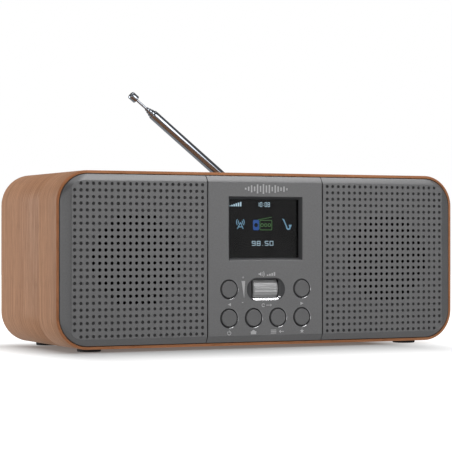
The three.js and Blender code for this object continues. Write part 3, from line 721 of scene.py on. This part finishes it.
def arc_mark(cx, cz, radius, width, start, stop, steps=14):
    angles = [math.radians(between(start, stop, i / steps)) for i in range(steps + 1)]
    outer, inner = [[(cx + r * math.cos(a), cz + r * math.sin(a)) for a in angles]
                    for r in (radius + width / 2, radius - width / 2)]
    return outer + inner[::-1]


SEGMENTS = {"0": "abcdef", "1": "bc", "5": "afgcd", "8": "abcdefg", "9": "abcdfg"}


def digit_marks(text, cx, z0, height, width, stroke, gap):
    """Seven-segment figures, with a point or a colon between them."""
    advance = {".": 0.5, ":": 0.5}
    total = sum(width * advance.get(c, 1) + gap for c in text) - gap
    x, marks = cx - total / 2, []
    for c in text:
        wide = width * advance.get(c, 1)
        mid = z0 + height / 2
        if c in advance:
            levels = (z0,) if c == "." else (z0 + height * 0.22, z0 + height * 0.62)
            left = x + (wide - stroke) / 2
            marks += [box_mark(left, left + stroke, z, z + stroke) for z in levels]
        else:
            s, top, right = stroke, z0 + height, x + wide
            places = {
                "a": (x, right, top - s, top), "b": (right - s, right, mid, top - s),
                "c": (right - s, right, z0 + s, mid), "d": (x, right, z0, z0 + s),
                "e": (x, x + s, z0 + s, mid), "f": (x, x + s, mid, top - s),
                "g": (x + s, right - s, mid - s / 2, mid + s / 2),
            }
            marks += [box_mark(*places[k]) for k in SEGMENTS[c]]
        x += wide + gap
    return marks


def lifted(marks):
    """Marks drawn about the middle of the front, raised to it."""
    return [[(x, MID_Z + z) for x, z in mark] for mark in marks]


def build_marks(name, marks, look, front, back, node, slot):
    shell = Shell()
    for mark in marks:
        shell.prism(mark, front, back)
    piece(name, shell, [look], node, slot=slot, stands_for=False)


def legend_marks():
    """Everything printed on the centre panel, about the middle of the front."""
    marks = []
    # A sound wave of bars over the display.
    heights = (1.2, 2.6, 4.4, 3.0, 5.6, 3.8, 6.2, 4.4, 5.2, 2.8, 4.8, 3.4, 2.2, 3.4, 1.4)
    for i, tall in enumerate(heights):
        x = -14.2 + i * 2.07
        marks.append(box_mark(x - 0.5, x + 0.5, 43.95 - tall / 2, 43.95 + tall / 2))
    # Level wedge with its plus and minus, left of the wheel.
    marks += [box_mark(-16.7, -15.3, -11.6, -11.2), line_mark(-16, -10.7, -16, -12.1, 0.4)]
    marks.append([(-17.1, -13.6), (-14.6, -13.6), (-15.3, -24.4)])
    marks.append(box_mark(-16.8, -15.8, -27.2, -26.8))
    # Loudspeaker and level steps over the wheel, and an open ring with an arrow under it.
    marks.append([(-5.2, -9.9), (-4.4, -9.9), (-3.3, -10.7), (-3.3, -8.1), (-4.4, -8.9), (-5.2, -8.9)])
    marks += [arc_mark(-3.6, -9.4, r, 0.4, -45, 45, 8) for r in (1.5, 2.4)]
    marks += [box_mark(0.6 + i * 1.6, 1.7 + i * 1.6, -10.6, -9.8 + i * 0.5) for i in range(4)]
    marks.append(arc_mark(-1.9, -28.95, 0.95, 0.4, 20, 340, 18))
    marks += [line_mark(0.2, -28.95, 3.6, -28.95, 0.45), [(3.0, -28.1), (4.2, -28.95), (3.0, -29.8)]]
    # Back and forward triangles.
    marks.append([(-26.6, -28.2), (-24.4, -27.2), (-24.4, -29.2)])
    marks.append([(26.6, -28.2), (24.4, -29.2), (24.4, -27.2)])
    # Power, home, menu and favourite.
    marks += [arc_mark(-25.6, -45.9, 1.15, 0.42, 125, 415, 18), line_mark(-25.6, -45.7, -25.6, -44.2, 0.42)]
    roof = [(-6.9, -45.7), (-6.2, -45.7), (-8.75, -44.2), (-11.3, -45.7), (-10.6, -45.7)]
    marks.append([(-10.6, -47), (-6.9, -47), *roof])
    marks += [box_mark(3.4, 7.2, z, z + 0.45) for z in (-46.8, -45.85, -44.9)]
    marks += [[(9.0, -45.65), (10.4, -44.6), (10.4, -46.7)], line_mark(10.2, -45.65, 12.6, -45.65, 0.45)]
    star = []
    for i in range(10):
        r, a = (1.55 if i % 2 == 0 else 0.65), math.radians(90 + 36 * i)
        star.append((25.5 + r * math.cos(a), -45.7 + r * math.sin(a)))
    return lifted([*marks, star])


PRINT_PROUD, PRINT_SUNK = 0.03, 0.01
build_marks(
    "fascia_legends", legend_marks(), LEGEND, -PRINT_PROUD, PRINT_SUNK, "control_fascia", "panel_grey")

# ---- display

GLASS_FRONT, GLASS_BACK = PANEL_WALL + 0.3, 4.2
MODULE_FRONT, SCREEN_DEPTH = 4.5, 4.75


def build_display():
    """The clear sheet behind the window, and the metal-framed display behind it."""
    z = WINDOW["z"]
    shell = Shell()
    lens = [(0.25, GLASS_FRONT), (0, GLASS_FRONT + 0.2), (0, GLASS_BACK - 0.2), (0.25, GLASS_BACK)]
    rings = [shell.ring(rounded(27.2 - inset, 21.3 - inset, 0.8, 4, 0, z), depth) for inset, depth in lens]
    shell.bands(rings)
    shell.plate(rings[0])
    shell.plate(rings[-1])
    piece("window_lens", shell, [LENS], "display_lens")

    frame_shell = Shell()
    low, high = cad_box("display_module")
    half, cz = ((high[0] - low[0]) / 2, (high[2] - low[2]) / 2), (low[2] + high[2]) / 2
    outer = [(0.4, MODULE_FRONT), (0, MODULE_FRONT + 0.4), (0, high[1] - 0.3), (0.3, high[1])]
    rings = [frame_shell.ring(rounded(half[0] - i, half[1] - i, 1, 4, 0, cz), d) for i, d in outer]
    mouth = [frame_shell.ring(rounded(25.4, 19.2, 0.3, 4, 0, z), d) for d in (MODULE_FRONT, SCREEN_DEPTH)]
    frame_shell.bands(rings)
    frame_shell.bands(mouth, (1,))
    frame_shell.plate(rings[0], [mouth[0]], 1)
    frame_shell.plate(mouth[1], look=2)
    frame_shell.plate(rings[-1])
    piece("display_unit", frame_shell, [STEEL, BLACK, SCREEN], "display_module", slot="display_panel")


def build_screen_contents():
    """The lit shapes on the display."""
    front, back = SCREEN_DEPTH - 0.04, SCREEN_DEPTH + 0.02
    white = glow("display_white", srgb(186, 216, 232), 1.3)
    pale = glow("display_pale_blue", srgb(130, 180, 210), 1.0)
    blue = glow("display_blue", srgb(30, 92, 180), 0.9)
    green = glow("display_green", srgb(72, 128, 62), 0.9)

    def show(name, marks, look):
        build_marks(name, lifted(marks), look, front, back, "display_module", "display_panel")

    bars = [box_mark(-23.4 + i * 1.5, -22.4 + i * 1.5, 33, 33.5 + i * 0.45) for i in range(6)]
    show("display_top_line", bars + digit_marks("10:08", 0.6, 32.8, 2.9, 1.5, 0.3, 0.55), white)
    show("display_station", digit_marks("98.50", 0, 8.4, 2.9, 2.5, 0.36, 0.95), white)

    mast = [line_mark(x, 18.9, -15.6, 23, 0.55) for x in (-17.6, -13.6)]
    mast.append(box_mark(-16.9, -14.3, 19.9, 20.4))
    mast += [arc_mark(-15.6, 23.1, r, 0.5, a, a + 80, 8) for r in (1.5, 2.7) for a in (-40, 140)]
    horn = [line_mark(14.0, 25.2, 14.9, 24.9, 0.5), line_mark(14.8, 25, 17.2, 19.9, 0.75)]
    horn += [arc_mark(18.3, 19.9, 1.15, 0.9, 180, 350)]
    horn += [[(18.9, 19.8), (20.0, 19.8), (20.7, 21.6), (18.6, 21.6)]]
    show("display_side_icons", mast + horn, pale)

    # A small radio: blue loudspeaker, green body with three knobs, and an aerial.
    shell = Shell()
    mid = MID_Z + 21.3
    shell.prism(rounded(2.1, 3.2, 0.8, 5, -4.6, mid), front, back, [circle(1.3, -4.6, mid, 24)])
    body, inside = rounded(4.4, 3.2, 0.8, 5, 2.3, mid), rounded(4.0, 2.8, 0.6, 5, 2.3, mid)
    shell.prism(body, front, back, [inside], 1)
    for x in (-0.4, 2.2, 4.8):
        shell.prism(circle(1.15, x, mid, 20), front, back, [circle(0.7, x, mid, 20)], 1)
    shell.prism(line_mark(-3.6, mid + 3.3, 6.4, mid + 5.0, 0.35), front, back, look=1)
    piece("display_centre_icon", shell, [blue, green], "display_module", slot="display_panel",
          stands_for=False)


build_display()
build_screen_contents()

# ---- drivers


def half_roll(radius, middle, depth, steps=12):
    angles = [math.pi * i / steps for i in range(steps + 1)]
    return [(middle - radius * math.cos(a), depth - radius * math.sin(a)) for a in angles]


MAGNET_PROFILE = [(0, 28.2), (5.3, 28.2), (5.6, 28.5), (5.6, 38.5), (7.6, 38.5), (7.6, 29.6), (7.9, 29.3),
                  (18.5, 29.3), (19, 29.8), (19, 40.4), (18.4, 41), (0, 41)]
CONE_PROFILE = [(0, 18.4), (2, 18.55), (4.5, 19.2), (6.2, 20.3), (7.4, 21.4), (12, 19.4), (18, 16.5),
                (23, 13.8), (23, 14.8), (18, 17.5), (12, 20.6), (7.6, 23.3), (6.9, 23.3), (6.6, 22.4),
                (4.2, 20.3), (0, 19.4)]
COIL_PROFILE = [(6.25, 23.6), (6.95, 23.6), (6.95, 34.5), (6.25, 34.5), (6.25, 23.6)]
ROLL = half_roll(2.2, 25.5, 13.8) + half_roll(1.6, 25.5, 13.8)[::-1]
ROLL_PROFILE = [*ROLL, ROLL[0]]

for side in ("left", "right"):
    x, _, z = centre_of(f"{side}_driver_cone")
    drive = facing(x, z)
    turned(f"{side}_magnet", MAGNET_PROFILE, drive, [MAGNET], f"{side}_driver_magnet", slot="magnet_dark")
    turned(f"{side}_cone", CONE_PROFILE, drive, [PAPER], f"{side}_driver_cone", 64)
    turned(f"{side}_surround", ROLL_PROFILE, drive, [SURROUND], f"{side}_driver_surround", 64)
    turned(f"{side}_coil", COIL_PROFILE, drive, [COPPER], f"{side}_voice_coil")

# ---- rear cover, screws and sockets

COVER_BACK = cad_box("rear_cover")[1][1]
COVER_FRONT = COVER_BACK - 2.7
SCREWS = {f"cover_screw_{i}": centre_of(f"cover_screw_{i}") for i in range(1, 7)}
VENTS = {"count": 8, "pitch": 6, "half": (1.1, 15), "x": 62, "z": 36}


def build_rear_cover():
    """The moulded back, with sunk screw seats, vents, socket openings and the aerial's raised seat."""
    shell = Shell()
    high = cad_box("rear_cover")[1]
    half = (high[0], high[2] - MID_Z)
    radius = CORNER - REAR_LIP - 0.4
    rim = [(0, COVER_FRONT), (0, COVER_BACK - 0.4), (0.1, COVER_BACK - 0.12), (0.35, COVER_BACK)]
    rings = [shell.ring(rounded(half[0] - i, half[1] - i, radius - i, 12), d) for i, d in rim]
    shell.bands(rings)
    fronts, backs = [], []

    def opening(outline, steps):
        made = [shell.ring(outline(grow), depth) for grow, depth in steps]
        shell.bands(made)
        fronts.append(made[-1])
        backs.append(made[0])

    edge = [(0, COVER_FRONT), (0, COVER_BACK - 0.3), (0.25, COVER_BACK)]
    for x, _, z in SCREWS.values():
        steps = [(-1.3, COVER_FRONT), (-1.3, 104.2), (0, 104.2), (0, COVER_BACK - 0.12), (0.12, COVER_BACK)]
        opening(lambda grow: circle(3 + grow, x, z, 32), steps)
    for i in range(VENTS["count"]):
        x = VENTS["x"] + (i - (VENTS["count"] - 1) / 2) * VENTS["pitch"]
        hx, hz = VENTS["half"]
        opening(lambda grow: rounded(hx + grow, hz + grow, hx + grow - 0.01, 6, x, VENTS["z"]), edge)
    x, _, z = centre_of("dc_socket")
    opening(lambda grow: rounded(5.15 + grow, 6.15 + grow, 0.5, 4, x, z), edge)
    phone_x, _, phone_z = centre_of("headphone_socket")
    opening(lambda grow: circle(4.2 + grow, phone_x, phone_z, 40), edge)
    raised = COVER_BACK + 0.5
    seat = [(-5.6, COVER_FRONT), (-5.6, raised), (-0.3, raised), (0, COVER_BACK + 0.2), (0, COVER_BACK)]
    opening(lambda grow: circle(7.4 + grow, PIVOT.x, PIVOT.z, 48), seat)
    shell.plate(rings[-1], fronts)
    shell.plate(rings[0], backs)
    piece("back_panel", shell, [BLACK], "rear_cover")


def build_cover_screw(node, x, z):
    """Pan head with a cross recess on a threaded shank."""
    thread = []
    for i in range(16):
        depth = 93 + i * 0.7
        thread += [(1.0, depth), (1.2, depth + 0.35)]
    head = [(1.2, 104.5), (2.7, 104.5), (2.7, 105.2), (2.55, 105.6), (2.1, 105.9), (1.9, 106)]
    shell = Shell()
    shell.lathe([(0, 92), *thread, *head], facing(x, z), 40)
    rim = list(range(len(shell.points) - 40, len(shell.points)))
    arm, wide = 1.35, 0.32
    cross = [(arm, wide), (wide, wide), (wide, arm), (-wide, arm), (-wide, wide), (-arm, wide)]
    cross += [(-a, -b) for a, b in cross]
    mouth = shell.ring([(x + a, z + b) for a, b in cross], 106)
    floor = shell.ring([(x + a * 0.8, z + b * 0.8) for a, b in cross], 105.2)
    shell.band(mouth, floor)
    shell.plate(floor)
    shell.plate(rim, [mouth])
    piece(f"{node}_head", shell, [STEEL], node, slot="steel")


def socket_shell(node, corner, sides):
    """A shell with a socket's rectangular body; sides are (inset, depth) from the front to the back."""
    low, high = cad_box(node)
    x, _, z = centre_of(node)
    hx, hz = (high[0] - low[0]) / 2, (high[2] - low[2]) / 2
    shell = Shell()
    rings = [shell.ring(rounded(hx - i, hz - i, corner, 4, x, z), depth) for i, depth in sides]
    shell.bands(rings)
    shell.plate(rings[0])
    return shell, rings[-1], lambda profile: [shell.ring(circle(r, x, z, 40), depth) for r, depth in profile]


def build_sockets():
    """The round DC inlet with its pin in a square body, and the headphone socket with its nose."""
    low, high = cad_box("dc_socket")
    shell, face, turn = socket_shell("dc_socket", 0.6, [(0, low[1]), (0, high[1] - 0.3), (0.3, high[1])])
    mouth = turn(((3.3, high[1]), (3.1, high[1] - 0.2), (3.1, 95)))
    pin = turn(((1, 95), (1, 104.2), (0.75, 104.5)))
    shell.plate(face, [mouth[0]])
    shell.bands(mouth)
    shell.plate(mouth[-1], [pin[0]])
    shell.bands(pin, (1, 1))
    shell.plate(pin[-1], look=1)
    piece("power_inlet", shell, [BLACK, STEEL], "dc_socket")

    front = cad_box("headphone_socket")[0][1]
    shell, face, turn = socket_shell("headphone_socket", 0.4, [(0, front), (0, 102.3)])
    nose = turn(((3.8, 102.3), (3.8, 105.3), (3.5, 105.6), (2.1, 105.6), (1.85, 105.4), (1.85, 93)))
    shell.plate(face, [nose[0]])
    shell.bands(nose, (1, 1, 1, 0, 0))
    shell.plate(nose[-1])
    piece("headphone_jack", shell, [BLACK, CHROME], "headphone_socket")


build_rear_cover()
for node, (x, _, z) in SCREWS.items():
    build_cover_screw(node, x, z)
build_sockets()

# ---- aerial

PIN_HOLE = 1.3


def tube(name, node, outer, inner, start, shoulder, end, foot=None):
    """A drawn tube whose mouth is rolled in, from shoulder to end, towards the next section."""
    lip = inner + 0.12
    if foot is None:
        profile = [(inner, start), (outer, start + 0.1)]
    else:
        profile = [(0, start), (0, foot), (outer - 0.6, foot), (outer - 0.25, foot + 0.3)]
        profile.append((outer, foot + 0.8))
    for share in (0, 0.25, 0.5, 0.75, 1):
        fall = 1 - math.cos(share * math.pi / 2)
        profile.append((between(outer, lip, fall), between(shoulder, end, math.sin(share * math.pi / 2))))
    profile += [(inner, end), (inner, start)]
    if foot is not None:
        profile.append((0, start))
    turned(name, profile, on_rod, [CHROME], node, 64)


def hinge_arc(radius, start, stop, steps):
    """Points (back, along the rod) of an arc about the hinge pin; 0 degrees points along the rod."""
    turns = [math.radians(between(start, stop, i / steps)) for i in range(steps + 1)]
    return [(radius * math.sin(a), radius * math.cos(a)) for a in turns]


def pinned_plate(shell, outline, low, high):
    """A flat plate across the hinge pin, from low to high along it, with the pin's hole."""
    loops = [outline, hinge_arc(PIN_HOLE, 0, 360, 24)[:-1]]
    triangles = filled([[Vector(p) for p in loop] for loop in loops])
    sides = []
    for loop in loops:
        rings = []
        for offset in (low, high):
            first = len(shell.points)
            shell.points += [on_rod(offset, b, h) for b, h in loop]
            rings.append(list(range(first, len(shell.points))))
        shell.band(*rings)
        sides.append(rings)
    for outer, hole in zip(*sides):
        index = [*outer, *hole]
        for face in triangles:
            shell.add([index[i] for i in face])


def on_pin(a, b, height):
    """Places a lathe on the hinge pin, whose length runs across the rod."""
    return on_rod(height, a, b)


def build_aerial_hinge():
    """Fork with two round cheeks on a round seat, and the pin through them."""
    cheek = [*hinge_arc(3.3, 0, 180, 16), (-3.9, -3.3), (-3.9, 3.3)]
    shell = Shell()
    for low, high in ((-3.1, -1.5), (1.5, 3.1)):
        pinned_plate(shell, cheek, low, high)
    seat = [(1.7, -5.8), (5.7, -5.8), (6, -5.5), (6, -4.2), (5.6, -3.8), (1.7, -3.8), (1.7, -5.8)]
    shell.lathe(seat, lambda a, b, back: on_rod(a, back, b))
    piece("aerial_fork", shell, [CHROME], "aerial_base")
    pin = [(0, -3.6), (0.8, -3.6), (1, -3.4), (1, 3.4), (0.8, 3.6), (0, 3.6)]
    turned("aerial_pin", pin, on_pin, [STEEL], "aerial_hinge_pin", 24, slot="steel")


def build_lowest_section():
    """The widest tube, and the flat tongue that turns on the pin."""
    tube("aerial_tube_1", "aerial_section_1", 3.3, 2.95, 8, 105.7, 107.7, foot=5.6)
    shell = Shell()
    pinned_plate(shell, [*hinge_arc(2.8, 90, 270, 16), (-2.6, 6.2), (2.6, 6.2)], -1.2, 1.2)
    piece("aerial_tongue", shell, [CHROME], "aerial_section_1", stands_for=False)


build_aerial_hinge()
build_lowest_section()
INNER_TUBES = {2: (2.65, 2.35, 12, 107.8, 109.7), 3: (2.05, 1.75, 15, 109.8, 111.7),
               4: (1.45, 1.15, 18, 111.8, 113.7)}
for n, sizes in INNER_TUBES.items():
    tube(f"aerial_tube_{n}", f"aerial_section_{n}", *sizes)
TIP_PROFILE = [(0, 22), (0.85, 22), (0.85, 125.8), (0, 125.8)]
CAP_PROFILE = [(1.15, 122.8), (2.35, 122.8), (2.6, 122.9), (2.7, 123.2), (2.7, 127.4), (2.6, 127.85),
               (2.3, 128.2), (1.8, 128.4), (0, 128.4), (0, 126.2), (1.15, 126.2), (1.15, 122.8)]
turned("aerial_tip", TIP_PROFILE, on_rod, [CHROME], "aerial_tip_rod", 32)
turned("aerial_cap", CAP_PROFILE, on_rod, [CHROME], "aerial_tip_cap", 64)

# ---- studio


def area_light(name, place, target, size, power, spread=math.pi):
    data = bpy.data.lights.new(name, "AREA")
    data.shape = "RECTANGLE"
    data.size, data.size_y = size
    data.energy, data.spread = power, spread
    lamp = added(name, data)
    lamp.location = place
    lamp.rotation_euler = (Vector(target) - Vector(place)).to_track_quat("-Z", "Y").to_euler()
    return lamp


def flag(lamp, names, state):
    """Keeps a lamp's light off the named pieces, or lets it fall on nothing else."""
    group = bpy.data.collections.new(lamp.name + "_flags")
    for made in list(bpy.data.objects):
        if made.type == "MESH" and made.name.startswith(names):
            group.objects.link(made)
    for entry in group.collection_objects:
        entry.light_linking.link_state = state
    lamp.light_linking.receiver_collection = group


def build_floor():
    """A round pale floor: lit by the lamps near the radio, where its glow is low, a painted shadow round the
    footprint, and glowing evenly brighter to white further away.
    """
    t = Tree("studio_floor")
    place = t.make("SeparateXYZ", {0: t.make("TexCoord").outputs["Object"]}).outputs

    def beyond(value, edge, steepness):
        """Square of how far a coordinate has gone past an edge."""
        past = t.math("MAXIMUM", t.math("SUBTRACT", value, edge), 0.0)
        return t.math("POWER", t.math("MULTIPLY", past, steepness), 2.0)

    beside = beyond(t.math("ABSOLUTE", t.math("ADD", place["X"], 0.02)), 0.105, 2.8)
    before = beyond(t.math("MULTIPLY", place["Y"], -1.0), 0.045, 1.0)
    behind = beyond(place["Y"], 0.02, 2.5)
    away = t.math("SQRT", t.math("ADD", t.math("ADD", beside, before), behind))
    # The glow is dim round the radio's footprint and rises to white within 0.13 m: a painted contact shadow,
    # on top of the lamps' own shadows.
    lift = t.range(away, 0.0, 0.13, 0.1, 1.0)
    grain = t.noise(300)
    base = t.mix(grain, [0.33, 0.33, 0.33, 1], [0.36, 0.36, 0.36, 1])
    look = t.done(Base_Color=base, Roughness=0.9, Normal=t.bump(grain, 0.02), Emission_Color=[1, 1, 1, 1],
                  Emission_Strength=lift)
    work = bmesh.new()
    bmesh.ops.create_circle(work, cap_ends=True, segments=96, radius=2.2)
    mesh = bpy.data.meshes.new("studio_floor")
    work.to_mesh(mesh)
    work.free()
    mesh.materials.append(look)
    floor = added("studio_floor", mesh)
    floor.visible_diffuse = False
    floor.visible_glossy = False


def build_world():
    """White behind the radio; its light is dim from above and brighter from below, like a pale table's."""
    world = bpy.data.worlds.new("studio")
    world.use_nodes = True
    nodes, link = world.node_tree.nodes, world.node_tree.links.new
    nodes.clear()
    kinds = "Background Background SeparateXYZ TexCoord MapRange LightPath MixShader OutputWorld"
    seen, dim, up, place, fade, path, mixer, out = [nodes.new("ShaderNode" + kind) for kind in kinds.split()]
    for background in (seen, dim):
        background.inputs["Color"].default_value = (1, 1, 1, 1)
    for socket, value in {"From Min": -0.3, "From Max": 0.2, "To Min": 0.49, "To Max": 0.17}.items():
        fade.inputs[socket].default_value = value
    link(place.outputs["Generated"], up.inputs[0])
    link(up.outputs["Z"], fade.inputs["Value"])
    link(fade.outputs[0], dim.inputs["Strength"])
    link(path.outputs["Is Camera Ray"], mixer.inputs[0])
    link(dim.outputs[0], mixer.inputs[1])
    link(seen.outputs[0], mixer.inputs[2])
    link(mixer.outputs[0], out.inputs[0])
    bpy.context.scene.world = world


def build_camera():
    data = bpy.data.cameras.new("camera")
    data.lens, data.sensor_width = 142.11, 36
    data.clip_start, data.clip_end = 0.01, 50
    camera = added("camera", data)
    camera.location = (-0.5044, -1.05755, 0.0696)
    camera.rotation_euler = (math.radians(90.364), 0, math.radians(-25.48))
    bpy.context.scene.camera = camera


build_floor()
build_world()
build_camera()
# Lamps: place and target, width and height, and power in watts.
area_light("overhead_softbox", (0, 0.2, 1.1), (0, 0.2, 0), (1.4, 0.8), 5)
strip = area_light("top_strip", (0.4, -0.55, 1.4), (0.0, -0.05, 0.1), (1.5, 0.36), 9.2)
rod_light = area_light("rod_light", (0.81, -1.15, 0.44), (0, 0.05, 0.14), (0.7, 0.7), 4)
area_light("side_panel", (-1.2, 0.7, 0.2), (-0.1, 0, 0.05), (0.7, 0.55), 12.6)
area_light("left_fill", (-0.85, -1.0, 0.15), (0, 0, 0.05), (0.5, 0.5), 1.1)
fill = area_light("front_fill", (1.0, -2.1, 0.4), (0, 0, 0.02), (0.85, 0.8), 0.32, math.radians(36))
flag(strip, ("aerial",), "EXCLUDE")
flag(fill, ("window_lens", "display_unit"), "EXCLUDE")
flag(rod_light, ("aerial",), "INCLUDE")
bpy.context.scene.view_settings.view_transform = "Standard"
